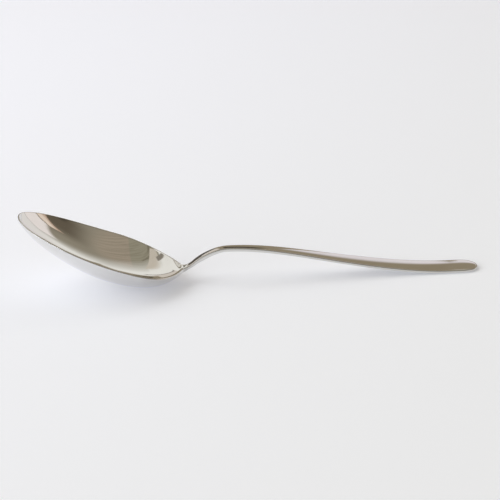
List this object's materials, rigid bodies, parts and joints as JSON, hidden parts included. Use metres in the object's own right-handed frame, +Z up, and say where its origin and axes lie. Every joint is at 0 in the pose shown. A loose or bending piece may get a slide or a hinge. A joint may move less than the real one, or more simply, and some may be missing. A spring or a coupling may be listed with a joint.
{
  "type": "serving spoon",
  "caption": "Polished stainless steel serving spoon: deep egg-shaped bowl, narrow rising neck and an arched handle that widens to a rounded end.",
  "frame": {"origin": "middle of the spoon's length, on the table that it rests on, in its plane of symmetry", "axes": "+X from the tip of the bowl to the end of the handle, +Y across the bowl, +Z up off the table"},
  "size_m": [0.242, 0.06, 0.0397],
  "materials": {
    "polished_steel": "mirror polished"
  },
  "bodies": {
    "root": {"bowl": "polished_steel", "handle": "polished_steel"}
  },
  "joints": []
}
